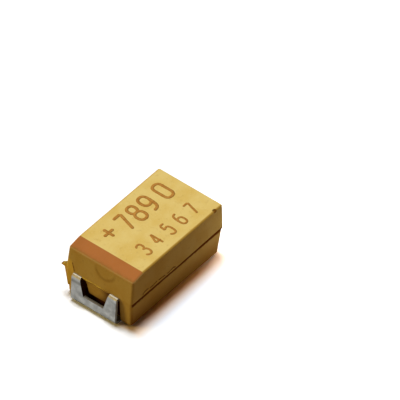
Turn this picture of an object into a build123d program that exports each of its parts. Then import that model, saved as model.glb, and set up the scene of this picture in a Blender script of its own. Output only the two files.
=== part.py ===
from build123d import *
import os
from math import radians, tan

# Moulded solid tantalum chip capacitor, in millimetres.
# The origin is the centre of the seating plane, which the undersides of both feet lie in.
# +X runs from the anode end (bevelled, with the forked terminal) to the cathode end, +Z is up.

# Moulded case: two drafted halves that meet at the parting line. The lower one is a little wider
# and lies off towards the cathode end and +Y, as the halves of a worn mould do.
case_length = 5.65
case_width = 3.26
lower_width = 3.28
parting_height = 1.38
height_above_parting = 1.22
mismatch_x = 0.03
mismatch_y = 0.03
upper_side_draft = 2.2
upper_anode_draft = 6.0
upper_cathode_draft = 1.2
upper_edge_radius = 0.09
lower_side_draft = 3.8
lower_end_draft = 5.0
lower_edge_radius = 0.07
lower_anode_corner_radius = 0.12
lower_cathode_corner_radius = 0.18

# Bevel that marks the anode end
bevel_length = 0.60
bevel_drop = 0.122

# Underside: a raised pad for glue between the feet, and the ledges beside it
pad_clearance = 0.03
pad_step = 0.04
pad_edge_radius = 0.03
ledge_width = 0.15

# Terminals: one folded strip at each end, a little off the middle of the case
strip_thickness = 0.12
terminal_width = 2.20
terminal_offset = 0.11
leg_clearance = 0.04
leg_splay = 0.03
foot_length = 1.30
shoulder_bend_radius = 0.03
foot_bend_radius = 0.13
inner_bend_radius = 0.10
slot_side_gap = 0.02
slot_depth = 0.10
pocket_gap = 0.05
pocket_end_gap = 0.09

# Fork in the anode terminal, a window from the foot's crossbar to inside the case
window_top_width = 1.41
window_bottom_width = 1.00
window_bottom_height = 0.555
window_depth = 0.30

# Compound that stands in the window: a boss, and a thin flash at the parting line
boss_top_width = 1.32
boss_bottom_width = 0.88
boss_bottom_height = 0.74
boss_clearance = 0.02
boss_corner_radius = 0.12
boss_edge_radius = 0.05
flash_thickness = 0.045
flash_reach = 0.06

# Moulding faults: a fin of flash at one corner, and a pinhole on one top edge
fin_reach = 0.30
fin_rise = 0.22
fin_neck = 0.12
fin_foot = 0.45
fin_thickness = 0.16
pinhole_radius = 0.075
pinhole_inset = 0.52

# Inside: tabs of the terminals, riser wire and washer
anode_tab_length = 0.80
anode_tab_width = 1.80
cathode_tab_length = 1.90
cathode_tab_width = 1.60
wire_diameter = 0.28
wire_weld_flat = 0.02
wire_inset = 0.40
wire_embedded = 2.20
washer_diameter = 0.80
washer_thickness = 0.16

# Inside: sintered slug and its coats, held clear of the case's outside by these walls
roof_wall = 0.30
side_wall = 0.45
anode_room = 1.25
cathode_room = 0.70
slug_edge_radius = 0.12
electrolyte_thickness = 0.05
graphite_thickness = 0.02
silver_thickness = 0.03
dip_margin = 0.20
dip_step = 0.08
adhesive_thickness = 0.04
adhesive_width = 1.40
adhesive_rise = 0.28

# Heights and places that follow from the sizes above
overall_height = parting_height + height_above_parting
ledge_height = pad_clearance + pad_step
strip_bottom = parting_height - strip_thickness
pocket_height = strip_thickness + pocket_gap
end_x = case_length / 2
leg_inner_x = end_x + leg_clearance
leg_outer_x = leg_inner_x + leg_splay + strip_thickness
leg_top_x = leg_inner_x + strip_thickness / 2
leg_low_x = leg_top_x + leg_splay
shoulder_z = parting_height - strip_thickness / 2
foot_end_x = leg_outer_x - foot_length
pocket_end_x = foot_end_x - pocket_end_gap
slot_width = terminal_width + 2 * slot_side_gap
lower_end_x = end_x - mismatch_x
lower_end_inset = (parting_height - ledge_height) * tan(radians(lower_end_draft))
lower_side_inset = (parting_height - ledge_height) * tan(radians(lower_side_draft))
upper_side_inset = height_above_parting * tan(radians(upper_side_draft))
wire_height = parting_height + wire_diameter / 2 - wire_weld_flat

# Outside of the coated slug
coated_half_height = overall_height - roof_wall - wire_height
coated_half_width = case_width / 2 - side_wall
coated_anode_x = anode_room - end_x
coated_cathode_x = end_x - cathode_room
coated_bottom = wire_height - coated_half_height
slug_anode_x = coated_anode_x + electrolyte_thickness
coat_thickness = electrolyte_thickness + graphite_thickness + silver_thickness


def span(low, high):
    """Box between two opposite corners."""
    size = [b - a for a, b in zip(low, high)]
    middle = [(a + b) / 2 for a, b in zip(low, high)]
    return Pos(*middle) * Box(*size)


def outline(plane, points):
    """Closed face with straight sides on a plane."""
    return plane * make_face(Polyline(*points, close=True))


def crossed(side_points, end_points):
    """Solid with one outline seen along Y and another seen along X."""
    along_y = extrude(outline(Plane.XZ, side_points), case_width, both=True)
    along_x = extrude(outline(Plane.YZ, end_points), case_length, both=True)
    return along_y & along_x


def upper_half():
    """Half above the parting line, with the bevel at its anode end."""
    anode_slope = tan(radians(upper_anode_draft))
    cathode_inset = height_above_parting * tan(radians(upper_cathode_draft))
    bevel_low_x = anode_slope * (height_above_parting - bevel_drop) - end_x
    ridge_x = bevel_low_x + bevel_length
    side = [
        (-end_x, parting_height),
        (end_x, parting_height),
        (end_x - cathode_inset, overall_height),
        (ridge_x, overall_height),
        (bevel_low_x, overall_height - bevel_drop),
    ]
    half_base = case_width / 2
    half_top = half_base - upper_side_inset
    end = [
        (-half_base, parting_height),
        (half_base, parting_height),
        (half_top, overall_height),
        (-half_top, overall_height),
    ]
    block = crossed(side, end)
    above = block.edges().filter_by_position(
        Axis.Z, parting_height, overall_height, inclusive=(False, True)
    )
    ridge = above.filter_by(Axis.Y).sort_by_distance((ridge_x, 0, overall_height))[0]
    return fillet(above - [ridge], upper_edge_radius)


def lower_block(set_back):
    """Half below the parting line, with its end faces set back by a given depth."""
    top_x = end_x - set_back
    bottom_x = top_x - lower_end_inset
    side = [
        (-top_x, parting_height),
        (top_x, parting_height),
        (bottom_x, ledge_height),
        (-bottom_x, ledge_height),
    ]
    half_top = lower_width / 2
    half_bottom = half_top - lower_side_inset
    end = [
        (-half_top, parting_height),
        (half_top, parting_height),
        (half_bottom, ledge_height),
        (-half_bottom, ledge_height),
    ]
    block = crossed(side, end)
    corners = block.edges().filter_by(lambda edge: edge.bounding_box().size.Z > parting_height / 2)
    corners = corners.sort_by(Axis.X)
    block = fillet(corners[:2], lower_anode_corner_radius)
    corners = block.edges().filter_by(lambda edge: edge.bounding_box().size.Z > parting_height / 2)
    corners = corners.sort_by(Axis.X)
    block = fillet(corners[-2:], lower_cathode_corner_radius)
    bottom = block.faces().sort_by(Axis.Z)[0].edges()
    return Pos(mismatch_x, mismatch_y, 0) * fillet(bottom, lower_edge_radius)


def lower_half():
    """Lower block whose ends are set back between corner rails, so that the legs lie in slots."""
    slot = span(
        (-case_length, terminal_offset - slot_width / 2, 0),
        (case_length, terminal_offset + slot_width / 2, parting_height),
    )
    rails = lower_block(0) - slot
    core = lower_block(slot_depth) & slot
    return rails + core


def glue_pad():
    """Raised pad between the foot pockets."""
    half_width = lower_width / 2 - lower_side_inset - ledge_width
    pad = span(
        (-pocket_end_x, mismatch_y - half_width, pad_clearance),
        (pocket_end_x, mismatch_y + half_width, parting_height),
    )
    long_edges = pad.faces().sort_by(Axis.Z)[0].edges().filter_by(Axis.X)
    return fillet(long_edges, pad_edge_radius)


def foot_pocket(end):
    """Room under the case for one foot; end is -1 at the anode and 1 at the cathode."""
    near, far = sorted((end * pocket_end_x, end * case_length))
    return span(
        (near, terminal_offset - slot_width / 2, 0),
        (far, terminal_offset + slot_width / 2, pocket_height),
    )


def window_boss():
    """Compound behind the fork's window, a tapered block with rounded edges."""
    front_x = boss_clearance - leg_inner_x
    back_x = slot_depth + lower_end_inset - lower_end_x
    face = outline(
        Plane.YZ,
        [
            (-boss_bottom_width / 2, boss_bottom_height),
            (boss_bottom_width / 2, boss_bottom_height),
            (boss_top_width / 2, parting_height),
            (-boss_top_width / 2, parting_height),
        ],
    )
    boss = Pos(front_x, 0, 0) * extrude(face, back_x - front_x)
    low_corners = boss.edges().filter_by(Axis.X).sort_by(Axis.Z)[:2]
    boss = fillet(low_corners, boss_corner_radius)
    front = boss.faces().sort_by(Axis.X)[0].edges().sort_by(Axis.Z)[:-1]
    return fillet(front, boss_edge_radius)


def window_flash():
    """Thin flash between the prongs, level with the parting line, with a torn edge."""
    half_width = window_top_width / 2
    back_x = slot_depth - lower_end_x
    torn = [(-1.0, 0.3), (-0.72, 1.0), (-0.45, 0.55), (-0.1, 0.8), (0.2, 0.25), (0.55, 0.9), (1.0, 0.6)]
    edge = [(-end_x - reach * flash_reach, side * half_width) for side, reach in torn]
    face = outline(Plane.XY, [(back_x, -half_width), *edge, (back_x, half_width)])
    return Pos(0, terminal_offset, parting_height - flash_thickness) * extrude(face, flash_thickness)


def corner_fin():
    """Pointed fin of flash at the parting line, which thins out down the anode end's +Y corner."""
    side_y = case_width / 2
    root_y = side_y - 2 * fin_thickness / 3
    face = outline(
        Plane.YZ,
        [
            (root_y, parting_height + fin_rise),
            (side_y + fin_reach, parting_height - fin_thickness / 4),
            (side_y + fin_neck, parting_height - fin_thickness / 2),
            (side_y - fin_thickness / 3, fin_foot),
            (root_y, fin_foot),
        ],
    )
    return Pos(upper_edge_radius - end_x, 0, 0) * extrude(face, fin_thickness)


def pinhole():
    """Open bubble on the top edge of the -Y side, near the cathode end."""
    edge_y = upper_side_inset - case_width / 2 + upper_edge_radius / 2
    return Pos(end_x - pinhole_inset, edge_y, overall_height) * Sphere(pinhole_radius)


def folded_strip(points, inside_radii):
    """Strip folded along a path in the XZ plane, with the inside radius of each bend."""
    radii = [radius + strip_thickness / 2 for radius in inside_radii]
    path = Plane.XZ * FilletPolyline(*points, radius=radii)
    section = Plane(path @ 0, x_dir=(0, 1, 0), z_dir=path % 0)
    strip = sweep(section * Rectangle(terminal_width, strip_thickness), path)
    return Pos(0, terminal_offset, 0) * strip


def narrowed(strip, inner_x, outer_x, tab_width):
    """Strip with the tab that it has between two places inside the case cut to a width."""
    half = tab_width / 2
    tab = span((inner_x, -case_width, pocket_height), (outer_x, case_width, overall_height))
    kept = span(
        (inner_x, terminal_offset - half, pocket_height),
        (outer_x, terminal_offset + half, overall_height),
    )
    return strip - (tab - kept)


def anode_terminal():
    """Forked strip: a tab inside the case, two prongs, a crossbar and a foot."""
    strip = folded_strip(
        [
            (anode_tab_length - end_x, shoulder_z),
            (-leg_top_x, shoulder_z),
            (-leg_low_x, strip_thickness / 2),
            (-foot_end_x, strip_thickness / 2),
        ],
        [shoulder_bend_radius, foot_bend_radius],
    )
    face = outline(
        Plane.YZ,
        [
            (terminal_offset - window_bottom_width / 2, window_bottom_height),
            (terminal_offset + window_bottom_width / 2, window_bottom_height),
            (terminal_offset + window_top_width / 2, parting_height),
            (terminal_offset - window_top_width / 2, parting_height),
        ],
    )
    window = Pos(-leg_outer_x, 0, 0) * extrude(face, leg_outer_x - end_x + window_depth)
    strip = narrowed(strip, window_depth - end_x, anode_tab_length - end_x, anode_tab_width)
    return strip - window


def cathode_terminal():
    """Solid strip: a tab under the slug, a step up to the parting line, a leg and a foot."""
    step_x = coated_cathode_x + adhesive_thickness + strip_thickness / 2
    tab_z = coated_bottom - adhesive_thickness - strip_thickness / 2
    tab_end_x = coated_cathode_x - cathode_tab_length
    strip = folded_strip(
        [
            (tab_end_x, tab_z),
            (step_x, tab_z),
            (step_x, shoulder_z),
            (leg_top_x, shoulder_z),
            (leg_low_x, strip_thickness / 2),
            (foot_end_x, strip_thickness / 2),
        ],
        [inner_bend_radius, inner_bend_radius, shoulder_bend_radius, foot_bend_radius],
    )
    return narrowed(strip, tab_end_x, step_x + strip_thickness / 2, cathode_tab_width)


def slug_block(start_x, coat):
    """Slug grown by a coat on its sides and cathode end, from start_x on."""
    inner = coat_thickness - coat
    half_width = coated_half_width - inner
    half_height = coated_half_height - inner
    block = span(
        (start_x, -half_width, wire_height - half_height),
        (coated_cathode_x - inner, half_width, wire_height + half_height),
    )
    return fillet(block.edges().filter_by(Axis.X), slug_edge_radius + coat)


def round_bar(diameter, low_x, high_x):
    """Cylinder along the wire's axis."""
    middle = (low_x + high_x) / 2
    return Pos(middle, 0, wire_height) * Rot(0, 90, 0) * Cylinder(diameter / 2, high_x - low_x)


def anode_wire():
    """Riser wire, flattened where it is welded to the anode tab, with its other end in the slug."""
    wire = round_bar(wire_diameter, wire_inset - end_x, slug_anode_x + wire_embedded)
    weld = span(
        (-end_x, -wire_diameter, strip_bottom),
        (anode_tab_length - end_x, wire_diameter, parting_height),
    )
    return wire - weld


def wire_washer():
    """Ring on the wire, against the slug's face."""
    ring = round_bar(washer_diameter, slug_anode_x - washer_thickness, slug_anode_x)
    return ring - round_bar(wire_diameter, -case_length, case_length)


def silver_adhesive():
    """Bond that fills the corner between the coated slug and the cathode terminal."""
    tab_end_x = coated_cathode_x - cathode_tab_length
    return span(
        (tab_end_x + dip_margin, terminal_offset - adhesive_width / 2, coated_bottom - adhesive_thickness),
        (
            coated_cathode_x + adhesive_thickness,
            terminal_offset + adhesive_width / 2,
            coated_bottom + adhesive_rise,
        ),
    )


def model():
    """All pieces by name, each cut to the pieces that it is moulded, dipped or bonded around."""
    wire = anode_wire()
    washer = wire_washer()
    anode = anode_terminal()
    cathode = cathode_terminal()

    graphite_x = coated_anode_x + dip_margin
    silver_x = graphite_x + dip_step
    slug = slug_block(slug_anode_x, 0)
    electrolyte = slug_block(coated_anode_x, electrolyte_thickness)
    graphite = slug_block(graphite_x, electrolyte_thickness + graphite_thickness)
    silver = slug_block(silver_x, coat_thickness)
    adhesive = silver_adhesive() - silver - cathode

    case = upper_half() + lower_half() + glue_pad() + window_boss() + window_flash() + corner_fin()
    case = case - foot_pocket(-1) - foot_pocket(1) - pinhole()
    for buried in (anode, cathode, wire, washer, electrolyte, graphite, silver, adhesive):
        case -= buried

    return {
        "moulded_case": case,
        "anode_terminal": anode,
        "cathode_terminal": cathode,
        "anode_wire": wire,
        "wire_washer": washer,
        "tantalum_slug": slug - wire,
        "electrolyte_layer": electrolyte - slug - washer - wire,
        "graphite_layer": graphite - electrolyte,
        "silver_layer": silver - graphite,
        "silver_adhesive": adhesive,
    }


os.makedirs("parts", exist_ok=True)
for name, piece in model().items():
    export_step(piece, f"parts/{name}.step")
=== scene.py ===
"""Looks of a moulded tantalum chip capacitor: finishes, marking, painted shade lines along the moulding
flash and a plain stage.
"""

import math

import bpy
from bpy.props import FloatProperty, FloatVectorProperty, IntProperty, PointerProperty, StringProperty
from mathutils import Matrix, Vector


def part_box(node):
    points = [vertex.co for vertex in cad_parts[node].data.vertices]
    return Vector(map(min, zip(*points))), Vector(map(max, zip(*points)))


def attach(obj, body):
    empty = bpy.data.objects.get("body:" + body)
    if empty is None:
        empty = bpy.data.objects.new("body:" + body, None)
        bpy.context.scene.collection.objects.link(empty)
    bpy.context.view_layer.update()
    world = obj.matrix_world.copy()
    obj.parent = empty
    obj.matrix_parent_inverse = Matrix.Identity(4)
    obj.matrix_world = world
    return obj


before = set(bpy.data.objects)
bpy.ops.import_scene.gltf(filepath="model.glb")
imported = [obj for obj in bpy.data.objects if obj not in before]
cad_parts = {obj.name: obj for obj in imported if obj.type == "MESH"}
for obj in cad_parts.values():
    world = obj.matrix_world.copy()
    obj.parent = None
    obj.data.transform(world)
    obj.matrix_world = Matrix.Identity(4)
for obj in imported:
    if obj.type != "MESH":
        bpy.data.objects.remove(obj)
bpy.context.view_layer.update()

bl_info = {
    "name": "Tantalum chip capacitor",
    "version": (1, 0, 0),
    "blender": (4, 5, 0),
    "location": "View3D > Sidebar > Capacitor",
    "description": "Finishes, marking and stage for a moulded tantalum chip capacitor",
    "category": "Object",
}

MM = 0.001
CASE_LOW, CASE_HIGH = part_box("moulded_case")
TOP_HEIGHT = CASE_HIGH.z
LEG_LOW, LEG_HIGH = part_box("anode_terminal")
PARTING_HEIGHT = LEG_HIGH.z
TERMINAL_MIDDLE = (LEG_LOW.y + LEG_HIGH.y) / 2
# Above the parting line the side walls lean in by 2.2 degrees and the anode end by 6 degrees.
SIDE_DRAFT = math.tan(math.radians(2.2))
END_DRAFT = math.tan(math.radians(6))
# How far out the anode end stands at the parting line, and how far the long sides are straight.
END_PLACE = 2.825 * MM
STRAIGHT_REACH = 2.7 * MM
# The long sides' walls lie farther out than this.
WALL_REACH = 1.5 * MM
# How far out along the case the painted shade in the slots starts, and where it is full.
SLOT_SHADE_REACH = (2.81 * MM, 2.73 * MM)
# How much the parting line's residue swells towards the ends.
LINE_SWELL = 1.35
# Half the width of a slot, how near the middle a prong's cut face is the window's, and how high the painted
# shade in the slots and on the boss begins.
SLOT_HALF = 1.115 * MM
WINDOW_HALF = 0.9 * MM
SHADE_FOOT = 0.2 * MM
# The boss in the window: its middle and half its size, as (across, height).
BOSS_MIDDLE = (TERMINAL_MIDDLE + 0.05 * MM, 1.12 * MM)
BOSS_HALF = (0.66 * MM, 0.5 * MM)
# Painted shade in the pinhole in the top edge of the -Y side, near the cathode end: middle and fading rim.
PINHOLE_SHADE = (2.335 * MM, -1.575 * MM, TOP_HEIGHT - 0.01 * MM)
PINHOLE_RIM = (0.12 * MM, 0.08 * MM)
# Curl on the anode end: its middle as (across, height), its radius, its width to each side, and the
# heights between which it fades in.
CURL_MIDDLE = (-0.23 * MM, 2.33 * MM)
CURL_RADIUS = 0.47 * MM
CURL_WIDTH = 0.12 * MM
CURL_TOP = (2.4 * MM, 2.1 * MM)
# Painted highlight on a strip of the anode end beside the fin of flash, outside a line that leans out with
# height but never comes nearer the middle than a least distance, and the heights between which it fades in.
STRIP_LEAN = 0.35
STRIP_START = 0.72 * MM
STRIP_LEAST = 1.22 * MM
STRIP_TOP = (1.95 * MM, 1.8 * MM)
# Half the blur of the band's crisp edge, the swing of its soft foot, and that foot's fade about the
# bevel's ridge.
BAND_BLUR = 0.012 * MM
BAND_SWING = 0.06 * MM
BAND_FADE = (-0.2 * MM, 0.22 * MM)
# Height of a dull mark on a prong, and how far from that height it starts and is full.
PRONG_MARK = 1.12 * MM
PRONG_MARK_BLUR = (0.13 * MM, 0.03 * MM)
# Dark line along the edge of the thin flash above the parting line of the -Y side, painted shade in the
# crease there: runs of (along, height) in mm.
FLASH_SHADE_LINE = [
    [(-2.14, 1.44), (-2.03, 1.53), (-1.78, 1.54)],
    [(-1.7, 1.49), (-1.53, 1.485), (-1.25, 1.53)],
    [(-1.17, 1.52), (-1.0, 1.5), (-0.75, 1.475)],
    [(-0.66, 1.47), (-0.52, 1.465), (-0.26, 1.52), (-0.12, 1.44)],
]
# Dark line of painted shade in the crease in the anode end beside the corner's fin of flash: (across,
# height) in mm.
FIN_CREASE_SHADE = [(1.35, 1.8), (1.31, 1.68), (1.255, 1.55), (1.22, 1.43)]
# Thickness of that edge and crease, how uneven their width is, and its seed.
FLASH_SKIN = 0.006 * MM
FLASH_SWING = 0.8
FLASH_SEED = 5.0
# How far each stroke of the marking lies above the last, and how uneven its width is.
STROKE_STEP = 0.0004 * MM
STROKE_SWING = 0.35
# Half the floor's side in metres, and its height, a hair under the feet.
FLOOR_HALF = 0.5
FLOOR_HEIGHT = -0.001 * MM
# White cards that throw light on the case: side, place, target and colour.
CARDS = {
    # Close to the cathode end, it lifts the far end of the long side.
    "card": (2 * MM, (5.2 * MM, -3.4 * MM, 1.6 * MM), (2.4 * MM, -1.7 * MM, 0.3 * MM), "#e8ecff"),
    # Past the cathode end, it leaves little shadow beyond that corner.
    "end_card": (1.5 * MM, (4.9 * MM, -1.2 * MM, 1.3 * MM), (3.1 * MM, -1.8 * MM, 0.0), "#fff2e0"),
}
# Refraction of the epoxy, and the slight sheen of its skin.
EPOXY_IOR = 1.55
SKIN_SHEEN = 0.06
# What the properties of lengths and of pairs share, and a ramp with gentle ends.
LENGTH = {"unit": "LENGTH", "precision": 5}
PAIR = {"size": 2, **LENGTH}
GENTLE = {"interpolation_type": "SMOOTHSTEP"}

# Strokes of each figure in a cell one wide and one high: a line has sharp corners, a bend is
# drawn round inside its corners, and a loop is a bend that closes.
STROKES = {
    "0": [("loop", [(0, 0), (1, 0), (1, 0.5), (1, 1), (0, 1), (0, 0.5)])],
    "1": [("line", [(0.12, 0.76), (0.55, 1), (0.55, 0)])],
    "2": [
        ("bend", [(0.02, 0.8), (0.04, 1.03), (0.98, 1.03), (0.98, 0.6), (0.5, 0.32), (0.02, 0)]),
        ("line", [(0.02, 0), (1, 0)]),
    ],
    "3": [
        ("bend", [(0.03, 0.86), (0.12, 1.02), (0.96, 1.02), (0.96, 0.54), (0.36, 0.54)]),
        ("bend", [(0.36, 0.54), (1.02, 0.54), (1.02, -0.02), (0.08, -0.02), (0, 0.17)]),
    ],
    "4": [("line", [(0.74, 0), (0.74, 1), (0, 0.3), (1, 0.3)])],
    "5": [
        ("line", [(0.94, 1), (0.16, 1), (0.08, 0.56)]),
        ("bend", [(0.08, 0.56), (0.3, 0.67), (1.04, 0.69), (1.04, -0.03), (0.14, -0.03), (0, 0.15)]),
    ],
    "6": [
        ("bend", [(0.84, 0.97), (0.3, 1), (0, 0.7), (0, 0.3)]),
        ("loop", [(0, 0), (1, 0), (1, 0.6), (0, 0.6)]),
    ],
    "7": [("line", [(0, 1), (1, 1), (0.34, 0)])],
    "8": [
        ("loop", [(0.06, 0.53), (0.94, 0.53), (0.94, 1), (0.06, 1)]),
        ("loop", [(0, 0), (1, 0), (1, 0.53), (0, 0.53)]),
    ],
    "9": [
        ("loop", [(0, 0.4), (1, 0.4), (1, 1), (0, 1)]),
        ("bend", [(1, 0.7), (1, 0.3), (0.7, 0), (0.16, 0.03)]),
    ],
    "+": [("line", [(0, 0.5), (1, 0.5)]), ("line", [(0.5, 0), (0.5, 1)])],
}


class MarkingSettings(bpy.types.PropertyGroup):
    """Marking burnt into the top face: a polarity sign, a large row and a small row of figures."""

    top_row: StringProperty(name="Top row", description="Large figures", default="789")
    last_figure: StringProperty(name="Last figure", description="Large figure set apart", default="0")
    low_row: StringProperty(name="Low row", description="Small figures", default="34567")
    top_size: FloatVectorProperty(
        name="Top row cell", description="Width and height of a large figure",
        default=(0.56 * MM, 1.03 * MM), **PAIR,
    )
    low_size: FloatVectorProperty(
        name="Low row cell", description="Width and height of a small figure",
        default=(0.37 * MM, 0.74 * MM), **PAIR,
    )
    sign_size: FloatVectorProperty(
        name="Sign cell", description="Width and height of the polarity sign",
        default=(0.70 * MM, 0.70 * MM), **PAIR,
    )
    top_start: FloatVectorProperty(
        name="Top row start", description="Low left corner of the first large figure",
        default=(-0.69 * MM, 0.14 * MM), **PAIR,
    )
    last_start: FloatVectorProperty(
        name="Last figure start", description="Low left corner of the figure set apart",
        default=(1.60 * MM, 0.14 * MM), **PAIR,
    )
    low_start: FloatVectorProperty(
        name="Low row start", description="Low left corner of the first small figure",
        default=(-1.29 * MM, -1.18 * MM), **PAIR,
    )
    sign_start: FloatVectorProperty(
        name="Sign start", description="Low left corner of the polarity sign",
        default=(-1.62 * MM, 0.44 * MM), **PAIR,
    )
    top_pitch: FloatProperty(
        name="Top row pitch", description="Step between large figures", default=0.69 * MM, **LENGTH
    )
    low_pitch: FloatProperty(
        name="Low row pitch", description="Step between small figures", default=0.735 * MM, **LENGTH
    )
    top_stroke: FloatProperty(
        name="Top row stroke", description="Stroke width of the large figures", default=0.135 * MM, **LENGTH
    )
    low_stroke: FloatProperty(
        name="Low row stroke", description="Stroke width of the small figures", default=0.095 * MM, **LENGTH
    )
    skin: FloatProperty(
        name="Skin", description="Thickness of the discoloured skin", default=0.004 * MM, unit="LENGTH",
        precision=6,
    )
    seed: IntProperty(name="Seed", description="Seed of the uneven stroke edges", default=3)
    colour: StringProperty(name="Colour", description="Marking colour, sRGB hex", default="#ac7028")


class CaseSettings(bpy.types.PropertyGroup):
    """Finish of the moulded case."""

    body: StringProperty(name="Body", description="Colour of the compound, sRGB hex", default="#ddbb67")
    blotch: StringProperty(
        name="Blotch", description="Deeper colour of the uneven compound, sRGB hex", default="#d6af55"
    )
    band: StringProperty(
        name="Band", description="Colour of the polarity band, sRGB hex", default="#ab6528"
    )
    band_edge: FloatProperty(
        name="Band edge", description="Place of the band's crisp edge along the case",
        default=-2.095 * MM, **LENGTH,
    )
    band_foot: FloatProperty(
        name="Band foot", description="Height of the ridge where the band fades out",
        default=2.478 * MM, **LENGTH,
    )
    # The flash edge is a dark line of painted shade.
    flash_stroke: FloatProperty(
        name="Flash shade line", description="Stroke width of the torn flash edge", default=0.05 * MM, **LENGTH
    )
    # The parting line colour is painted shade under the parting edge.
    line: StringProperty(
        name="Parting line", description="Colour of the residue at the parting edge, sRGB hex",
        default="#743e08",
    )
    line_height: FloatProperty(
        name="Parting shade", description="Height of the dark line under the parting edge",
        default=0.14 * MM, **LENGTH,
    )
    # The foot shade is painted shade, darker towards the floor.
    foot_shade: StringProperty(
        name="Foot shade", description="Colour of the stained foot of the long sides, sRGB hex",
        default="#b07c28",
    )


class MetalSettings(bpy.types.PropertyGroup):
    """Finish of the plated terminals."""

    bright: StringProperty(
        name="Bright", description="Colour of the clean plating, sRGB hex", default="#babcc0"
    )
    dull: StringProperty(
        name="Dull", description="Colour of the dulled plating, sRGB hex", default="#919397"
    )


class StageSettings(bpy.types.PropertyGroup):
    """Floor, lamps and camera."""

    floor: StringProperty(name="Floor", description="Floor colour, sRGB hex", default="#ffe6cb")
    floor_gain: FloatProperty(
        name="Floor gain", description="How much paler than its colour the floor shows", default=1.41
    )
    open_floor: StringProperty(
        name="Open floor", description="Colour of the floor clear of the case, sRGB hex", default="#e6e0d3"
    )
    thrown: StringProperty(
        name="Thrown back", description="Tint of the floor beside the shaded long side, sRGB hex",
        default="#ffc878",
    )
    bounce: StringProperty(
        name="Bounce", description="Floor colour that lights the object, sRGB hex", default="#98784c"
    )
    surround: StringProperty(
        name="Surround", description="Colour of the light from all round, sRGB hex", default="#ffb868"
    )
    reflected: StringProperty(
        name="Reflected", description="Colour of the surroundings that the metal mirrors, sRGB hex",
        default="#ddd5c0",
    )
    world: FloatProperty(name="World", description="Strength of the light from all round", default=0.012)
    key_power: FloatProperty(
        name="Key power", description="Power of the softbox", default=12.85, unit="POWER"
    )
    key_colour: StringProperty(name="Key colour", description="Softbox colour, sRGB hex", default="#dee9ff")
    key_place: FloatVectorProperty(
        name="Key place", description="Place of the softbox", default=(0.09, 0.16, 1.0), unit="LENGTH"
    )
    key_size: FloatProperty(name="Key size", description="Side of the softbox", default=0.3, unit="LENGTH")
    fill_power: FloatProperty(
        name="Fill power", description="Power of the lamp before the anode end", default=2.3, unit="POWER"
    )
    fill_colour: StringProperty(
        name="Fill colour", description="Colour of the lamp before the anode end, sRGB hex",
        default="#ffe489",
    )
    fill_place: FloatVectorProperty(
        name="Fill place", description="Place of the lamp before the anode end",
        default=(-0.55, 0.6, 0.45), unit="LENGTH",
    )
    fill_size: FloatProperty(
        name="Fill size", description="Side of the lamp before the anode end", default=0.3, unit="LENGTH"
    )
    card_power: FloatProperty(
        name="Card power", description="Power of each card", default=0.000045, unit="POWER"
    )
    azimuth: FloatProperty(
        name="Azimuth", description="Camera's turn about the object", default=math.radians(-52.78),
        subtype="ANGLE",
    )
    elevation: FloatProperty(
        name="Elevation", description="Camera's height angle", default=math.radians(44.44), subtype="ANGLE"
    )
    roll: FloatProperty(
        name="Roll", description="Camera's tilt about its own axis", default=math.radians(2.13),
        subtype="ANGLE",
    )
    distance: FloatProperty(name="Distance", description="Camera's distance", default=0.476, unit="LENGTH")
    view_width: FloatProperty(
        name="View width", description="Width that the picture takes in at the object",
        default=400 / 25.88 * MM, **LENGTH,
    )
    look_right: FloatProperty(
        name="Look right", description="How far right of the object the camera looks",
        default=2.169 * MM, **LENGTH,
    )
    look_up: FloatProperty(
        name="Look up", description="How far above the object the camera looks",
        default=2.8 * MM, **LENGTH,
    )


def linear(colour):
    """Linear red, green, blue and alpha of an sRGB hex colour."""
    parts = [int(colour[i:i + 2], 16) / 255 for i in (1, 3, 5)]
    return (*[p / 12.92 if p <= 0.04045 else ((p + 0.055) / 1.055) ** 2.4 for p in parts], 1.0)


def add(tree, kind, values=None, **settings):
    """Adds a node, sets it up and fills its sockets, by name or number: hex text is a colour, and a
    node stands for its first output."""
    made = tree.nodes.new(kind)
    for name, value in settings.items():
        setattr(made, name, value)
    for key, value in (values or {}).items():
        live = [socket for socket in made.inputs if socket.enabled]
        socket = live[key] if isinstance(key, int) else next(s for s in live if s.name == key)
        if isinstance(value, bpy.types.Node):
            value = next(s for s in value.outputs if s.enabled)
        if isinstance(value, bpy.types.NodeSocket):
            tree.links.new(value, socket)
        elif isinstance(value, str):
            socket.default_value = linear(value)
        else:
            socket.default_value = value
    return made


def new_material(name):
    """Empty material with its tree and Object coordinates."""
    made = bpy.data.materials.new(name)
    made.use_nodes = True
    tree = made.node_tree
    tree.nodes.clear()
    return made, tree, add(tree, "ShaderNodeTexCoord").outputs["Object"]


def lay_over(tree, colour, layers):
    """Lays named layers over a colour, each as strong as its masks multiplied. Gives the colour and
    each layer's strength."""
    strengths = {}
    for name, (shade, share, *masks) in layers.items():
        for mask in masks:
            share = add(tree, "ShaderNodeMath", {0: share, 1: mask}, operation="MULTIPLY")
        colour = add(tree, "ShaderNodeMix", {"Factor": share, "A": colour, "B": shade}, data_type="RGBA")
        strengths[name] = share
    return colour, strengths


def away(tree, value, middle):
    """How far a value lies from a middle, either way."""
    value = add(tree, "ShaderNodeMath", {0: value, 1: middle}, operation="SUBTRACT")
    return add(tree, "ShaderNodeMath", {0: value}, operation="ABSOLUTE")


def per_mm(size):
    """Noise scale whose blotches are about this many millimetres wide."""
    return 1 / (size * MM)


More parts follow.
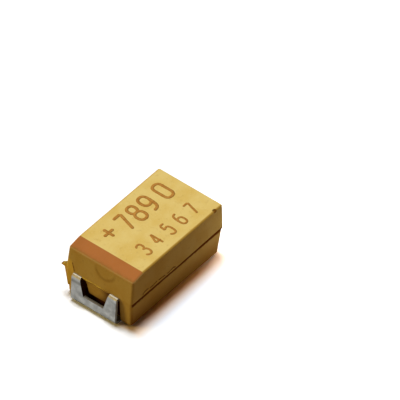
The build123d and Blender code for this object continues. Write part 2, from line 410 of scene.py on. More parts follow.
def moulded_epoxy(settings):
    """Silica-filled epoxy, transfer moulded in an eroded mould: ochre, matt and faintly blotched.

    A laser has turned the anode end's bevel brown, and painted shade darkens the parting line."""
    made, tree, place = new_material("filled_epoxy_moulded")
    apart = add(tree, "ShaderNodeSeparateXYZ", {"Vector": place}).outputs
    along = add(tree, "ShaderNodeMath", {0: apart["X"]}, operation="ABSOLUTE")
    drop = add(tree, "ShaderNodeMath", {0: PARTING_HEIGHT, 1: apart["Z"]}, operation="SUBTRACT")
    # Parts of a face's direction: a wall's Z is near 0 and a level face's is 1.
    normal = add(tree, "ShaderNodeNewGeometry").outputs["Normal"]
    tilt = add(tree, "ShaderNodeSeparateXYZ", {"Vector": normal}).outputs
    sideways = add(tree, "ShaderNodeMath", {0: tilt["Y"]}, operation="ABSOLUTE")
    on_end = add(tree, "ShaderNodeMath", {0: tilt["X"], 1: -0.7}, operation="LESS_THAN")

    clouds = add(tree, "ShaderNodeTexNoise", {"Vector": place, "Scale": per_mm(0.9), "Detail": 4.0})
    grain = add(tree, "ShaderNodeTexNoise", {"Vector": place, "Scale": per_mm(0.07), "Detail": 2.0})
    specks = add(tree, "ShaderNodeTexNoise", {"Vector": place, "Scale": per_mm(0.16), "Detail": 3.0})
    cloudy = add(tree, "ShaderNodeMapRange", {"Value": clouds, "From Min": 0.35, "From Max": 0.7}, **GENTLE)
    pale = add(
        tree, "ShaderNodeMapRange", {"Value": grain, "From Min": 0.6, "From Max": 0.85, "To Max": 0.3}
    )
    dark = add(
        tree, "ShaderNodeMapRange", {"Value": specks, "From Min": 0.42, "From Max": 0.25, "To Max": 0.2}
    )
    skin = {
        "blotches": (settings.blotch, cloudy),
        # Pale specks of filler, 0.05 mm and less, drawn at 0.07 mm so that they show.
        "filler": ("#f2dda0", pale),
        "specks": ("#9c6c22", dark),
    }
    body = lay_over(tree, settings.body, skin)[0]

    # The band: crisp at the bevel's upper edge, soft and uneven about the ridge at its foot.
    edge = settings.band_edge
    before = add(
        tree, "ShaderNodeMapRange",
        {"Value": apart["X"], "From Min": edge + BAND_BLUR, "From Max": edge - BAND_BLUR},
    )
    wander = add(
        tree, "ShaderNodeMapRange",
        {"Value": specks, "From Min": 0.3, "From Max": 0.7, "To Min": -BAND_SWING, "To Max": BAND_SWING},
    )
    # Length and height together run down the bevel and on down the end wall below its ridge.
    foot = add(tree, "ShaderNodeMath", {0: apart["Z"], 1: apart["X"]}, operation="ADD")
    foot = add(tree, "ShaderNodeMath", {0: foot, 1: wander}, operation="ADD")
    ridge = settings.band_foot - END_PLACE + (settings.band_foot - PARTING_HEIGHT) * END_DRAFT
    low, high = (ridge + fade for fade in BAND_FADE)
    above = add(tree, "ShaderNodeMapRange", {"Value": foot, "From Min": low, "From Max": high}, **GENTLE)
    facing = add(tree, "ShaderNodeMapRange", {"Value": sideways, "From Min": 0.97, "From Max": 0.75})
    # 0 on the bevel and 1 on the end wall below it.
    turned = add(tree, "ShaderNodeMapRange", {"Value": tilt["Z"], "From Min": 0.9, "From Max": 0.15})
    tones = {
        "uneven": ("#a46024", cloudy),
        # Painted highlight: the band is paler where it runs out over the ridge onto the end wall.
        "ridge highlight": ("#e2a45a", turned),
    }
    brown = lay_over(tree, settings.band, tones)[0]
    # Where the band has faded, painted shade leaves a deeper ochre on the bevel, which faces up to the
    # light, and the plain body on the end wall.
    faded_and_shaded = add(tree, "ShaderNodeMix", {"Factor": turned, "A": "#7a5a16", "B": body}, data_type="RGBA")

    # Painted shade on the long sides below the parting line, deeper towards their foot by the floor.
    foot_shade_share = add(
        tree, "ShaderNodeMapRange",
        {"Value": drop, "From Max": 1.3 * MM, "To Min": 0.1, "To Max": 0.9}, **GENTLE,
    )
    under_edge = add(tree, "ShaderNodeMath", {0: drop, 1: 0.0}, operation="GREATER_THAN")
    beside = add(tree, "ShaderNodeMapRange", {"Value": sideways, "From Min": 0.45, "From Max": 0.85})

    # Painted shade on the rounded top edges of the long sides, clear of the band, chosen by face direction.
    top_edge_shade = add(tree, "ShaderNodeMath", {0: sideways, 1: tilt["Z"]}, operation="MULTIPLY")
    top_edge_shade = add(tree, "ShaderNodeMapRange", {"Value": top_edge_shade, "From Min": 0.06, "From Max": 0.42})
    unbanded = add(tree, "ShaderNodeMath", {0: 1.0, 1: before}, operation="SUBTRACT")

    # Thin flash over the window: browned where it is torn short, golden where it folds to the light.
    low_top = add(tree, "ShaderNodeMath", {0: drop, 1: -0.05 * MM}, operation="GREATER_THAN")
    level_top = add(tree, "ShaderNodeMath", {0: tilt["Z"], 1: 0.7}, operation="GREATER_THAN")
    folded = add(
        tree, "ShaderNodeMapRange", {"Value": apart["Y"], "From Min": -0.35 * MM, "From Max": -0.05 * MM}
    )
    lip = add(tree, "ShaderNodeMix", {"Factor": folded, "A": "#7c5614", "B": "#b28b26"}, data_type="RGBA")

    # A faint darker curl on the anode end: the lower part of a ring.
    ring = {"Vector": place, "Location": (0.0, -CURL_MIDDLE[0], -CURL_MIDDLE[1]), "Scale": (0.0, 1.0, 1.0)}
    curl = add(tree, "ShaderNodeVectorMath", {0: add(tree, "ShaderNodeMapping", ring)}, operation="LENGTH")
    curl = away(tree, curl.outputs["Value"], CURL_RADIUS)
    curl = add(
        tree, "ShaderNodeMapRange",
        {"Value": curl, "From Max": CURL_WIDTH, "To Min": 0.42, "To Max": 0.0}, **GENTLE,
    )
    start, full = CURL_TOP
    lower_arc = add(tree, "ShaderNodeMapRange", {"Value": apart["Z"], "From Min": start, "From Max": full})

    # Painted highlight on the end's strip outside the crease, beside the fin of flash.
    lean = add(
        tree, "ShaderNodeMath", {0: apart["Z"], 1: STRIP_LEAN, 2: STRIP_START}, operation="MULTIPLY_ADD"
    )
    lean = add(tree, "ShaderNodeMath", {0: lean, 1: STRIP_LEAST}, operation="MAXIMUM")
    strip = add(tree, "ShaderNodeMath", {0: apart["Y"], 1: lean}, operation="SUBTRACT")
    strip = add(tree, "ShaderNodeMapRange", {"Value": strip, "From Max": 0.04 * MM, "To Max": 0.8})
    start, full = STRIP_TOP
    ceiling = add(tree, "ShaderNodeMapRange", {"Value": apart["Z"], "From Min": start, "From Max": full})

    # Painted shade in the angle under the parting edge of the long sides, uneven along it. It swells
    # towards both ends, and is thinner on the +Y side, where the lower half stands proud, and on the
    # cathode half, where it reaches a little above the edge.
    thick = add(
        tree, "ShaderNodeMapRange",
        {
            "Value": along, "From Min": 0.9 * MM, "From Max": STRAIGHT_REACH,
            "To Min": settings.line_height, "To Max": LINE_SWELL * settings.line_height,
        },
    )
    swing = {"Value": specks, "From Min": 0.3, "From Max": 0.7, "To Min": 0.85, "To Max": 1.12}
    by_side = {
        "Value": apart["Y"], "From Min": -0.5 * MM, "From Max": 0.5 * MM, "To Min": 1.0, "To Max": 0.3,
    }
    by_end = {"Value": apart["X"], "From Max": STRAIGHT_REACH, "To Min": 1.0, "To Max": 0.7}
    for values in (swing, by_side, by_end):
        part = add(tree, "ShaderNodeMapRange", values)
        thick = add(tree, "ShaderNodeMath", {0: thick, 1: part}, operation="MULTIPLY")
    level = add(tree, "ShaderNodeMath", {0: drop, 1: thick}, operation="DIVIDE")
    under = add(tree, "ShaderNodeMapRange", {"Value": level, "From Min": 1.35, "From Max": 0.8})
    line_start = {
        "Value": apart["X"], "From Max": STRAIGHT_REACH, "To Min": -0.004 * MM, "To Max": -0.075 * MM,
    }
    line_start = add(tree, "ShaderNodeMapRange", line_start)
    below = add(tree, "ShaderNodeMath", {0: drop, 1: line_start}, operation="GREATER_THAN")
    out = add(tree, "ShaderNodeMath", {0: apart["Y"]}, operation="ABSOLUTE")
    outer = add(tree, "ShaderNodeMath", {0: out, 1: WALL_REACH}, operation="GREATER_THAN")
    endways = add(tree, "ShaderNodeMath", {0: tilt["X"]}, operation="ABSOLUTE")
    aside = add(tree, "ShaderNodeMapRange", {"Value": endways, "From Min": 0.8, "From Max": 0.5})

    # Painted shade, near black, deep in the slots and round the window's boss.
    start, full = SLOT_SHADE_REACH
    slot_shade_share = add(tree, "ShaderNodeMapRange", {"Value": along, "From Min": start, "From Max": full})
    lower = add(tree, "ShaderNodeMath", {0: drop, 1: 0.01 * MM}, operation="GREATER_THAN")
    raised = add(tree, "ShaderNodeMath", {0: apart["Z"], 1: SHADE_FOOT}, operation="GREATER_THAN")
    across = away(tree, apart["Y"], TERMINAL_MIDDLE)
    inside = add(tree, "ShaderNodeMath", {0: SLOT_HALF, 1: across}, operation="GREATER_THAN")

    offset = add(tree, "ShaderNodeVectorMath", {0: place, 1: PINHOLE_SHADE}, operation="DISTANCE")
    offset = offset.outputs["Value"]
    start, full = PINHOLE_RIM
    pinhole_shade = add(tree, "ShaderNodeMapRange", {"Value": offset, "From Min": start, "From Max": full})

    # Painted shade on the boss in the window, darker towards its rim, by how far a place lies from its
    # middle: 1 is the boss's rim.
    centred = add(
        tree, "ShaderNodeMapping",
        {
            "Vector": place,
            "Location": (0.0, *[-middle / half for middle, half in zip(BOSS_MIDDLE, BOSS_HALF)]),
            "Scale": (0.0, *[1 / half for half in BOSS_HALF]),
        },
    )
    reach = add(tree, "ShaderNodeVectorMath", {0: centred}, operation="LENGTH").outputs["Value"]
    boss_shade_share = add(
        tree, "ShaderNodeMapRange",
        {"Value": reach, "From Min": 0.25, "From Max": 1.15, "To Min": 0.1, "To Max": 0.9}, **GENTLE,
    )

    marks = {
        # The band's faded edge, with its painted shade on the bevel.
        "faded band": (faded_and_shaded, before),
        "band": (brown, before, above, facing),
        # Painted shade at the foot of the long sides.
        "foot": (settings.foot_shade, foot_shade_share, under_edge, beside),
        # Painted shade: the rounded top edges are given a deeper gold.
        "top edge shade": ("#bd8d34", top_edge_shade, unbanded),
        "window flash": (lip, low_top, level_top),
        # A faint darker curl on the anode end.
        "curl": ("#9c7020", curl, lower_arc, on_end),
        # Painted highlight: the strip is painted bright yellow.
        "strip": ("#ffd45a", strip, ceiling, on_end),
        # Painted shade under the parting edge.
        "parting line": (settings.line, under, below, outer, aside),
        # Painted shade darkens the pinhole.
        "pinhole": ("#80500e", pinhole_shade),
        # Painted shade deep in the slots.
        "slot shade": ("#1d0a02", slot_shade_share, lower, raised, inside),
        # Painted shade round the boss.
        "boss_shade_share": ("#5e300a", boss_shade_share, lower, raised, inside, on_end),
    }
    colour, strengths = lay_over(tree, body, marks)

    rough = add(
        tree, "ShaderNodeMapRange",
        {"Value": grain, "From Min": 0.3, "From Max": 0.7, "To Min": 0.52, "To Max": 0.66},
    )
    # Where shade is painted under the parting edge and in the slots, the skin's slight sheen is taken away.
    painted_shade = add(
        tree, "ShaderNodeMath", {0: strengths["parting line"], 1: strengths["slot shade"]}, operation="MAXIMUM"
    )
    sheen = add(tree, "ShaderNodeMapRange", {"Value": painted_shade, "To Min": SKIN_SHEEN, "To Max": 0.0})
    # The eroded mould leaves a grain of about 0.03 mm, drawn at 0.07 mm to show at all.
    relief = add(tree, "ShaderNodeBump", {"Height": grain, "Distance": 0.005 * MM, "Strength": 0.5})
    values = {
        "Base Color": colour, "Roughness": rough, "Normal": relief, "IOR": EPOXY_IOR,
        "Specular IOR Level": sheen,
    }
    shader = add(tree, "ShaderNodeBsdfPrincipled", values)
    # An export that drops this socket's link still finds the clean skin's value on it.
    shader.inputs["Specular IOR Level"].default_value = SKIN_SHEEN
    add(tree, "ShaderNodeOutputMaterial", {"Surface": shader})
    return made


def burnt_marking(settings):
    """Epoxy skin discoloured by a laser: brown, matt and a little uneven along the stroke."""
    made, tree, place = new_material("epoxy_laser_marked")
    patches = add(tree, "ShaderNodeTexNoise", {"Vector": place, "Scale": per_mm(0.12), "Detail": 3.0})
    uneven = add(tree, "ShaderNodeMapRange", {"Value": patches, "From Min": 0.35, "From Max": 0.75})
    colour = lay_over(tree, settings.colour, {"patches": ("#bf863a", uneven)})[0]
    rough = add(tree, "ShaderNodeMapRange", {"Value": patches, "To Min": 0.6, "To Max": 0.75})
    values = {
        "Base Color": colour, "Roughness": rough, "IOR": EPOXY_IOR, "Specular IOR Level": SKIN_SHEEN,
    }
    add(tree, "ShaderNodeOutputMaterial", {"Surface": add(tree, "ShaderNodeBsdfPrincipled", values)})
    return made


def tin_plate(settings):
    """Matt tin plated on nickel iron strip and then folded: soft mottled grey with drawn-out marks."""
    made, tree, place = new_material("tin_plated_strip")
    apart = add(tree, "ShaderNodeSeparateXYZ", {"Vector": place}).outputs
    normal = add(tree, "ShaderNodeNewGeometry").outputs["Normal"]
    tilt = add(tree, "ShaderNodeSeparateXYZ", {"Vector": normal}).outputs
    clouds = add(
        tree, "ShaderNodeTexNoise",
        {"Vector": place, "Scale": per_mm(0.28), "Detail": 4.0, "Distortion": 0.4},
    )
    cloudy = add(tree, "ShaderNodeMapRange", {"Value": clouds, "From Min": 0.35, "From Max": 0.68})
    # Marks of the drawn strip, 0.02 mm and less, drawn at 0.06 mm so that they show.
    drawn = add(tree, "ShaderNodeMapping", {"Vector": place, "Scale": (1.0, 1.0, 0.25)})
    streaks = add(tree, "ShaderNodeTexNoise", {"Vector": drawn, "Scale": per_mm(0.06), "Detail": 3.0})
    glints = add(
        tree, "ShaderNodeMapRange", {"Value": streaks, "From Min": 0.58, "From Max": 0.8, "To Max": 0.4}
    )
    fold_shade = add(tree, "ShaderNodeMapRange", {"Value": tilt["Z"], "From Min": 0.4, "From Max": 0.72})
    mark = away(tree, apart["Z"], PRONG_MARK)
    start, full = PRONG_MARK_BLUR
    mark = add(
        tree, "ShaderNodeMapRange", {"Value": mark, "From Min": start, "From Max": full, "To Max": 0.6},
        **GENTLE,
    )
    one_side = add(tree, "ShaderNodeMath", {0: apart["Y"], 1: TERMINAL_MIDDLE}, operation="GREATER_THAN")
    one_end = add(tree, "ShaderNodeMath", {0: apart["X"], 1: 0.0}, operation="LESS_THAN")
    across = away(tree, apart["Y"], TERMINAL_MIDDLE)
    inside = add(tree, "ShaderNodeMath", {0: WINDOW_HALF, 1: across}, operation="GREATER_THAN")
    sideways = add(tree, "ShaderNodeMath", {0: tilt["Y"]}, operation="ABSOLUTE")
    cut = add(tree, "ShaderNodeMapRange", {"Value": sideways, "From Min": 0.4, "From Max": 0.8})
    marks = {
        "clouds": (settings.bright, cloudy),
        "glints": ("#c6c4be", glints),
        # Painted shade: folds and edges that face up are dulled to a yellowish grey, which tones down the
        # light they catch.
        "folds": ("#8a7e66", fold_shade),
        # A dull grey band across one prong.
        "prong mark": ("#55524a", mark, one_side, one_end),
        # Painted shade: the prongs' cut faces in the window are darkened.
        "cut faces": ("#40200c", cut, inside),
    }
    colour = lay_over(tree, settings.dull, marks)[0]
    rough = add(
        tree, "ShaderNodeMapRange",
        {"Value": clouds, "From Min": 0.3, "From Max": 0.7, "To Min": 0.5, "To Max": 0.38},
    )
    height = add(tree, "ShaderNodeMix", {"Factor": 0.4, "A": clouds, "B": streaks})
    relief = add(tree, "ShaderNodeBump", {"Height": height, "Distance": 0.012 * MM, "Strength": 0.6})
    values = {"Base Color": colour, "Roughness": rough, "Normal": relief, "Metallic": 1.0}
    add(tree, "ShaderNodeOutputMaterial", {"Surface": add(tree, "ShaderNodeBsdfPrincipled", values)})
    return made


def grained_finish(name, light, dark, grain_mm, depth_mm, roughness, metallic=0.0, sheen=0.5):
    """Two-shade grained material."""
    made, tree, place = new_material(name)
    grain = add(tree, "ShaderNodeTexNoise", {"Vector": place, "Scale": per_mm(grain_mm), "Detail": 4.0})
    share = add(tree, "ShaderNodeMapRange", {"Value": grain, "From Min": 0.35, "From Max": 0.65})
    colour = lay_over(tree, dark, {"grain": (light, share)})[0]
    rough = add(
        tree, "ShaderNodeMapRange", {"Value": grain, "To Min": roughness - 0.1, "To Max": roughness + 0.1}
    )
    relief = add(tree, "ShaderNodeBump", {"Height": grain, "Distance": depth_mm * MM, "Strength": 0.6})
    values = {
        "Base Color": colour, "Roughness": rough, "Normal": relief, "Metallic": metallic,
        "Specular IOR Level": sheen,
    }
    add(tree, "ShaderNodeOutputMaterial", {"Surface": add(tree, "ShaderNodeBsdfPrincipled", values)})
    return made


# Pieces inside the case: finish name, two shades, grain and relief in millimetres, roughness, metal.
CORE = {
    # Drawn tantalum: blue-grey metal with a faint skin.
    "anode_wire": ("tantalum_wire_drawn", "#9c9ca4", "#84848c", 0.05, 0.003, 0.35, 1.0),
    # Fluoropolymer punched from sheet: waxy white.
    "wire_washer": ("fluoropolymer_punched", "#eeeeea", "#dededa", 0.2, 0.002, 0.45, 0.0),
    # Tantalum powder pressed and sintered: dark grey and open grained.
    "tantalum_slug": ("tantalum_sintered", "#5c5c62", "#3a3a40", 0.04, 0.01, 0.8, 0.4),
    # Manganese dioxide fired on in several dips: black and knobbly.
    "electrolyte_layer": ("manganese_dioxide_fired", "#2a2826", "#141312", 0.08, 0.012, 0.7, 0.0),
    # Graphite dipped and dried: soft dark grey with a low sheen.
    "graphite_layer": ("graphite_dipped", "#3c3d40", "#2b2c2e", 0.06, 0.004, 0.5, 0.0),
    # Silver flake paint dipped and cured: matt pale grey.
    "silver_layer": ("silver_paint_dipped", "#c8c6c0", "#aeaca6", 0.05, 0.005, 0.55, 0.6),
    # Silver-filled epoxy adhesive, dispensed and cured: grey and lumpy.
    "silver_adhesive": ("silver_adhesive_cured", "#a8a6a0", "#8c8a84", 0.07, 0.01, 0.6, 0.4),
}


def give(node, made):
    """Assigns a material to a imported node."""
    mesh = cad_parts[node].data
    mesh.materials.clear()
    mesh.materials.append(made)


def add_strokes(curve, text, start, size, pitch, stroke):
    """Adds the strokes of a row of figures, each a hair above the last so that none share a face."""
    inner = [side - stroke for side in size]
    count = 0
    for index, figure in enumerate(text):
        for kind, points in STROKES[figure]:
            runs = [points]
            if kind == "line":
                runs = [points[i:i + 2] for i in range(len(points) - 1)]
            for run in runs:
                spline = curve.splines.new("POLY" if kind == "line" else "NURBS")
                spline.points.add(len(run) - 1)
                for point, (across, up) in zip(spline.points, run):
                    x = start[0] + stroke / 2 + index * pitch + across * inner[0]
                    y = start[1] + stroke / 2 + up * inner[1]
                    point.co = (x, y, TOP_HEIGHT + count * STROKE_STEP, 1.0)
                spline.use_cyclic_u = kind == "loop"
                if kind != "line":
                    spline.order_u = 3
                    spline.use_endpoint_u = kind == "bend"
                    spline.resolution_u = 12
                count += 1


def stroke_group():
    """Tree that turns each curve into a flat stroke with round ends and a slightly uneven width."""
    tree = bpy.data.node_groups.new("burnt_strokes", "GeometryNodeTree")
    face = tree.interface
    face.new_socket("Geometry", in_out="INPUT", socket_type="NodeSocketGeometry")
    for name in ("Width", "Thickness", "Round", "Unevenness", "Seed"):
        face.new_socket(name, in_out="INPUT", socket_type="NodeSocketFloat")
    face.new_socket("Material", in_out="INPUT", socket_type="NodeSocketMaterial")
    face.new_socket("Geometry", in_out="OUTPUT", socket_type="NodeSocketGeometry")
    given = add(tree, "NodeGroupInput").outputs
    # Six points to a stroke's width.
    step = add(tree, "ShaderNodeMath", {0: given["Round"], 1: 6.0}, operation="DIVIDE")
    even = add(
        tree, "GeometryNodeResampleCurve", {"Curve": given["Geometry"], "Length": step}, mode="LENGTH"
    )
    # The width falls off as a half circle within half a stroke of an open end, and the last point
    # keeps a little of it.
    length = add(tree, "GeometryNodeSplineLength").outputs["Length"]
    along = add(tree, "GeometryNodeSplineParameter").outputs["Length"]
    half = add(tree, "ShaderNodeMath", {0: given["Round"], 1: 2.0}, operation="DIVIDE")
    left = add(tree, "ShaderNodeMath", {0: length, 1: along}, operation="SUBTRACT")
    nearest = add(tree, "ShaderNodeMath", {0: along, 1: left}, operation="MINIMUM")
    share = add(tree, "ShaderNodeMath", {0: nearest, 1: half}, operation="DIVIDE")
    share = add(tree, "ShaderNodeMath", {0: share, 1: 1.0}, operation="MINIMUM")
    short = add(tree, "ShaderNodeMath", {0: 1.0, 1: share}, operation="SUBTRACT")
    square = add(tree, "ShaderNodeMath", {0: short, 1: short}, operation="MULTIPLY")
    rest = add(tree, "ShaderNodeMath", {0: 1.05, 1: square}, operation="SUBTRACT")
    rounded = add(tree, "ShaderNodeMath", {0: rest}, operation="SQRT")
    closed = add(tree, "GeometryNodeInputSplineCyclic").outputs["Cyclic"]
    ends = add(
        tree, "GeometryNodeSwitch", {"Switch": closed, "False": rounded, "True": 1.0}, input_type="FLOAT"
    )
    # The width swings about its middle with a noise of 0.1 mm.
    wander = add(
        tree, "ShaderNodeTexNoise", {"W": given["Seed"], "Scale": per_mm(0.1), "Detail": 2.0},
        noise_dimensions="4D",
    )
    swing = add(tree, "ShaderNodeMath", {0: wander, 1: 0.5}, operation="SUBTRACT")
    swing = add(tree, "ShaderNodeMath", {0: swing, 1: given["Unevenness"]}, operation="MULTIPLY")
    swing = add(tree, "ShaderNodeMath", {0: swing, 1: 1.0}, operation="ADD")
    width = add(tree, "ShaderNodeMath", {0: ends, 1: swing}, operation="MULTIPLY")
    upright = add(tree, "GeometryNodeSetCurveNormal", {"Curve": even}, mode="Z_UP")
    size = {"Width": given["Width"], "Height": given["Thickness"]}
    section = add(tree, "GeometryNodeCurvePrimitiveQuadrilateral", size)
    values = {"Curve": upright, "Profile Curve": section, "Scale": width, "Fill Caps": True}
    solid = add(tree, "GeometryNodeCurveToMesh", values)
    real = add(tree, "GeometryNodeRealizeInstances", {"Geometry": solid})
    painted = add(tree, "GeometryNodeSetMaterial", {"Geometry": real, "Material": given["Material"]})
    add(tree, "NodeGroupOutput", {"Geometry": painted})
    return tree


def grown(curve, tree, values, name):
    """Plain mesh object that a node tree makes of a curve with these input values."""
    source = bpy.data.objects.new(name, curve)
    bpy.context.scene.collection.objects.link(source)
    modifier = source.modifiers.new(name, "NODES")
    modifier.node_group = tree
    for item in tree.interface.items_tree:
        if item.in_out == "INPUT" and item.name in values:
            modifier[item.identifier] = values[item.name]
    evaluated = source.evaluated_get(bpy.context.evaluated_depsgraph_get())
    mesh = bpy.data.meshes.new_from_object(evaluated)
    mesh.name = name
    source.modifiers.remove(modifier)
    bpy.data.objects.remove(source)
    if not mesh.polygons:
        raise RuntimeError(f"{name} came out empty")
    made = bpy.data.objects.new(name, mesh)
    bpy.context.scene.collection.objects.link(made)
    return made


class CAPACITOR_OT_case(bpy.types.Operator):
    """Give the moulded case its compound, its polarity band and its parting line"""

    bl_idname = "capacitor.case"
    bl_label = "Moulded case"

    def execute(self, context):
        give("moulded_case", moulded_epoxy(context.scene.capacitor_case))
        return {"FINISHED"}


class CAPACITOR_OT_flash(bpy.types.Operator):
    """Draw dark lines of painted shade in the crease along the thin flash above the parting line and in the
    crease beside the fin
    """

    bl_idname = "capacitor.flash"
    bl_label = "Flash shade line"

    def execute(self, context):
        # Painted shade: dull brown lines for the shade in the creases.
        painted_crease_shade = grained_finish("flash_line_painted_shade", "#9c6612", "#84500a", 0.1, 0.002, 0.65, sheen=0.05)
        curve = bpy.data.curves.new("flash_shade_line", "CURVE")
        curve.dimensions = "3D"
        for run in [*FLASH_SHADE_LINE, FIN_CREASE_SHADE]:
            spline = curve.splines.new("POLY")
            spline.points.add(len(run) - 1)
            for point, (place, height) in zip(spline.points, run):
                rise = height * MM - PARTING_HEIGHT
                if run is FIN_CREASE_SHADE:
                    point.co = (rise * END_DRAFT - END_PLACE, place * MM, height * MM, 1.0)
                else:
                    point.co = (place * MM, CASE_LOW.y + rise * SIDE_DRAFT, height * MM, 1.0)
        # The section stands up on the wall, so its width is the skin and its height the stroke.
        stroke = context.scene.capacitor_case.flash_stroke
        values = {
            "Width": FLASH_SKIN, "Thickness": stroke, "Round": stroke, "Unevenness": FLASH_SWING,
            "Seed": FLASH_SEED, "Material": painted_crease_shade,
        }
        made = grown(curve, stroke_group(), values, "flash_shade_line")
        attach(made, "root")
        return {"FINISHED"}


class CAPACITOR_OT_terminals(bpy.types.Operator):
    """Plate both terminals"""

    bl_idname = "capacitor.terminals"
    bl_label = "Terminals"

    def execute(self, context):
        plate = tin_plate(context.scene.capacitor_metal)
        give("anode_terminal", plate)
        give("cathode_terminal", plate)
        return {"FINISHED"}


class CAPACITOR_OT_core(bpy.types.Operator):
    """Finish the wire, washer, slug, coats and bond inside the case"""

    bl_idname = "capacitor.core"
    bl_label = "Core"

    def execute(self, context):
        for node, finish in CORE.items():
            give(node, grained_finish(*finish))
        return {"FINISHED"}


class CAPACITOR_OT_marking(bpy.types.Operator):
    """Mark the top face with a polarity sign and two rows of figures"""

    bl_idname = "capacitor.marking"
    bl_label = "Marking"

    def execute(self, context):
        s = context.scene.capacitor_marking
        burnt = burnt_marking(s)
        tree = stroke_group()
        rows = (
            ("polarity_sign", "+", s.sign_start, s.sign_size, s.top_pitch, s.top_stroke),
            ("top_row_figures", s.top_row, s.top_start, s.top_size, s.top_pitch, s.top_stroke),
            ("last_figure", s.last_figure, s.last_start, s.top_size, s.top_pitch, s.top_stroke),
            ("low_row_figures", s.low_row, s.low_start, s.low_size, s.low_pitch, s.low_stroke),
        )
        for name, text, start, size, pitch, stroke in rows:
            curve = bpy.data.curves.new(name, "CURVE")
            curve.dimensions = "3D"
            add_strokes(curve, text, start, size, pitch, stroke)
            values = {
                "Width": stroke, "Thickness": s.skin, "Round": stroke, "Unevenness": STROKE_SWING,
                "Seed": float(s.seed), "Material": burnt,
            }
            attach(grown(curve, tree, values, name), "root")
        return {"FINISHED"}


def seen_rays(tree):
    """1 on rays that see the stage: from the camera, off gloss or through glass."""
    path = add(tree, "ShaderNodeLightPath").outputs
    seen = path["Is Camera Ray"]
    for kind in ("Is Glossy Ray", "Is Transmission Ray"):
        seen = add(tree, "ShaderNodeMath", {0: seen, 1: path[kind]}, operation="MAXIMUM")
    return seen


def floor_sheet(settings):
    """Plain white sheet, overexposed as it is seen and darker as it lights the object."""
    made, tree, place = new_material("floor_sheet")
    lit = lay_over(tree, settings.bounce, {"mirrored": (settings.reflected, seen_rays(tree))})[0]
    shown, plain = (
        (*[part * settings.floor_gain for part in linear(colour)[:3]], 1.0)
        for colour in (settings.floor, settings.open_floor)
    )
    warm = tuple(a * b for a, b in zip(shown, linear(settings.thrown)))
    # How far a place lies from a line a little inside the case's -Y side, and along it from the middle.
    apart = add(tree, "ShaderNodeSeparateXYZ", {"Vector": place}).outputs
    off = away(tree, apart["Y"], CASE_LOW.y + 0.1 * MM)
    along = add(tree, "ShaderNodeMath", {0: apart["X"]}, operation="ABSOLUTE")
    near = add(tree, "ShaderNodeMapRange", {"Value": off, "From Min": 0.44 * MM, "From Max": 0.0}, **GENTLE)
    midway = add(tree, "ShaderNodeMapRange", {"Value": along, "From Min": 2.9 * MM, "From Max": 1.3 * MM})
    past_side = add(
        tree, "ShaderNodeMapRange", {"Value": off, "From Min": 0.38 * MM, "From Max": 0.68 * MM}, **GENTLE
    )
    past_end = add(
        tree, "ShaderNodeMapRange", {"Value": along, "From Min": 2.7 * MM, "From Max": 3.0 * MM}, **GENTLE
    )
    clear = add(tree, "ShaderNodeMath", {0: past_side, 1: past_end}, operation="MAXIMUM")
    tints = {
        # Painted bounce light: beside the long side in shadow the sheet is tinted with the ochre that the
        # case throws back.
        "thrown back": (warm, near, midway),
        # Clear of that side the sheet takes a plainer colour, so that the shadow there is not tinted warm.
        "open": (plain, clear),
    }
    shown = lay_over(tree, shown, tints)[0]
    camera = add(tree, "ShaderNodeLightPath").outputs["Is Camera Ray"]
    colour = lay_over(tree, lit, {"seen": (shown, camera)})[0]
    values = {"Base Color": colour, "Roughness": 0.9, "Specular IOR Level": 0.0}
    add(tree, "ShaderNodeOutputMaterial", {"Surface": add(tree, "ShaderNodeBsdfPrincipled", values)})
    return made


def place_lamp(name, power, side, place, target, colour):
    """Square lamp at a place, turned to a target and hidden from the camera."""
    lamp = bpy.data.lights.new(name, "AREA")
    lamp.energy = power
    lamp.size = side
    lamp.color = linear(colour)[:3]
    stand = bpy.data.objects.new(name, lamp)
    stand.location = place
    stand.rotation_euler = (Vector(target) - Vector(place)).to_track_quat("-Z", "Y").to_euler()
    stand.visible_camera = False
    bpy.context.scene.collection.objects.link(stand)
    return stand


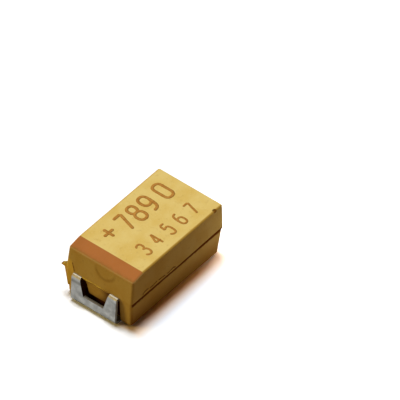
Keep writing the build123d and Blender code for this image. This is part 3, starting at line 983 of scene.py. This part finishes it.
class CAPACITOR_OT_stage(bpy.types.Operator):
    """Set up the floor, the lamps and the camera"""

    bl_idname = "capacitor.stage"
    bl_label = "Stage"

    def execute(self, context):
        scene = context.scene
        s = scene.capacitor_stage
        mesh = bpy.data.meshes.new("floor")
        corners = [(-1, -1), (1, -1), (1, 1), (-1, 1)]
        spots = [(x * FLOOR_HALF, y * FLOOR_HALF, FLOOR_HEIGHT) for x, y in corners]
        mesh.from_pydata(spots, [], [(0, 1, 2, 3)])
        mesh.materials.append(floor_sheet(s))
        floor = bpy.data.objects.new("floor", mesh)
        scene.collection.objects.link(floor)

        # Even, dim light from all round, which is a white background to the camera.
        scene.world = bpy.data.worlds.new("studio")
        scene.world.use_nodes = True
        tree = scene.world.node_tree
        tree.nodes.clear()
        seen = seen_rays(tree)
        camera = add(tree, "ShaderNodeLightPath").outputs["Is Camera Ray"]
        views = {"mirrored": (s.reflected, seen), "seen": ("#ffffff", camera)}
        colour = lay_over(tree, s.surround, views)[0]
        strength = add(tree, "ShaderNodeMapRange", {"Value": seen, "To Min": s.world, "To Max": 1.0})
        light = add(tree, "ShaderNodeBackground", {"Color": colour, "Strength": strength})
        add(tree, "ShaderNodeOutputWorld", {"Surface": light})

        middle = (0, 0, 0)
        place_lamp("softbox", s.key_power, s.key_size, s.key_place, middle, s.key_colour)
        # A weaker lamp in front, which lights the anode end.
        place_lamp("front_fill", s.fill_power, s.fill_size, s.fill_place, middle, s.fill_colour)
        for name, (side, place, target, colour) in CARDS.items():
            place_lamp(name, s.card_power, side, place, target, colour).visible_glossy = False

        back = Vector((
            math.sin(s.azimuth) * math.cos(s.elevation),
            -math.cos(s.azimuth) * math.cos(s.elevation),
            math.sin(s.elevation),
        ))
        level = Vector((math.cos(s.azimuth), math.sin(s.azimuth), 0))
        upright = back.cross(level)
        right = level * math.cos(s.roll) + upright * math.sin(s.roll)
        up = upright * math.cos(s.roll) - level * math.sin(s.roll)
        camera = bpy.data.cameras.new("camera")
        seat = bpy.data.objects.new("camera", camera)
        scene.collection.objects.link(seat)
        place = back * s.distance + right * s.look_right + up * s.look_up
        seat.matrix_world = Matrix.Translation(place) @ Matrix((right, up, back)).transposed().to_4x4()
        camera.lens = camera.sensor_width * s.distance / s.view_width
        camera.clip_start, camera.clip_end = 0.01, 10
        scene.camera = seat
        scene.view_settings.view_transform = "Standard"
        return {"FINISHED"}


class CAPACITOR_PT_panel(bpy.types.Panel):
    """Lists the capacitor's steps and settings"""

    bl_idname = "CAPACITOR_PT_panel"
    bl_label = "Capacitor"
    bl_space_type = "VIEW_3D"
    bl_region_type = "UI"
    bl_category = "Capacitor"

    def draw(self, context):
        for operator, settings in STEPS:
            self.layout.operator(operator)
            if settings:
                group = getattr(context.scene, settings)
                for name in group.__annotations__:
                    self.layout.prop(group, name)


STEPS = (
    ("capacitor.case", "capacitor_case"),
    ("capacitor.flash", None),
    ("capacitor.terminals", "capacitor_metal"),
    ("capacitor.core", None),
    ("capacitor.marking", "capacitor_marking"),
    ("capacitor.stage", "capacitor_stage"),
)
SETTINGS = {
    "capacitor_case": CaseSettings,
    "capacitor_metal": MetalSettings,
    "capacitor_marking": MarkingSettings,
    "capacitor_stage": StageSettings,
}
CLASSES = (
    *SETTINGS.values(),
    CAPACITOR_OT_case,
    CAPACITOR_OT_flash,
    CAPACITOR_OT_terminals,
    CAPACITOR_OT_core,
    CAPACITOR_OT_marking,
    CAPACITOR_OT_stage,
    CAPACITOR_PT_panel,
)


def register():
    for made in CLASSES:
        bpy.utils.register_class(made)
    for name, group in SETTINGS.items():
        setattr(bpy.types.Scene, name, PointerProperty(type=group))


def unregister():
    for name in SETTINGS:
        delattr(bpy.types.Scene, name)
    for made in reversed(CLASSES):
        bpy.utils.unregister_class(made)


def main():
    register()
    bpy.ops.capacitor.case()
    bpy.ops.capacitor.flash()
    bpy.ops.capacitor.terminals()
    bpy.ops.capacitor.core()
    bpy.ops.capacitor.marking()
    bpy.ops.capacitor.stage()


if __name__ == "__main__":
    main()
